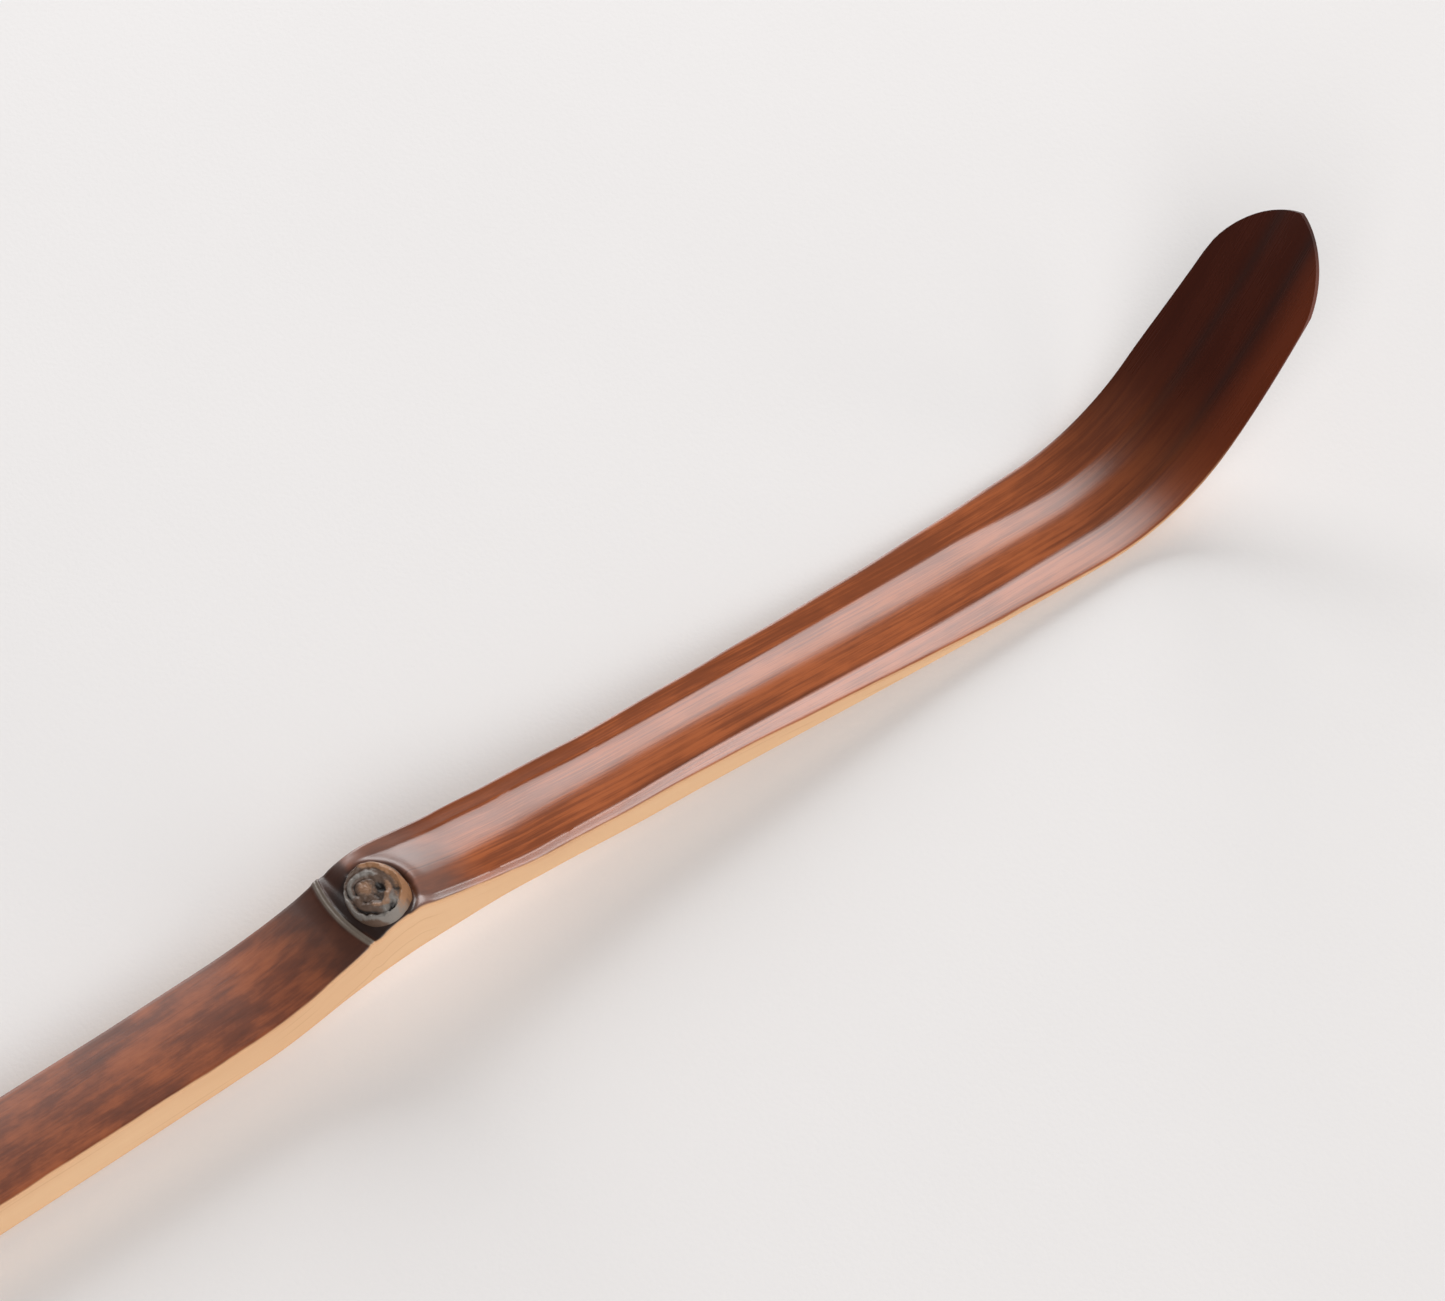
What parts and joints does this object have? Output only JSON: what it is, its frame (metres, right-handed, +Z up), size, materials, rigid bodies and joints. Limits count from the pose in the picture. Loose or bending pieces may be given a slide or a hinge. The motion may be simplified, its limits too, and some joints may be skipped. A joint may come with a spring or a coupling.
{
  "type": "bamboo tea scoop",
  "caption": "Slim scoop for powdered tea, carved from one strip of smoked bamboo, with a node and bud mid-length, a grooved stem and a thin upturned blade.",
  "frame": {"origin": "on the floor that the scoop rests on, under the middle of its length and width", "axes": "+X along the strip from the handle's cut end to the blade, +Y across it, +Z up out of the skin face"},
  "size_m": [0.1736, 0.0122, 0.0201],
  "materials": {
    "smoked_bamboo": "smoked bamboo skin, satin to semi-gloss from handling; bare pale flesh on the pared sides and underside"
  },
  "bodies": {
    "root": {"tea_scoop": "smoked_bamboo"}
  },
  "joints": []
}
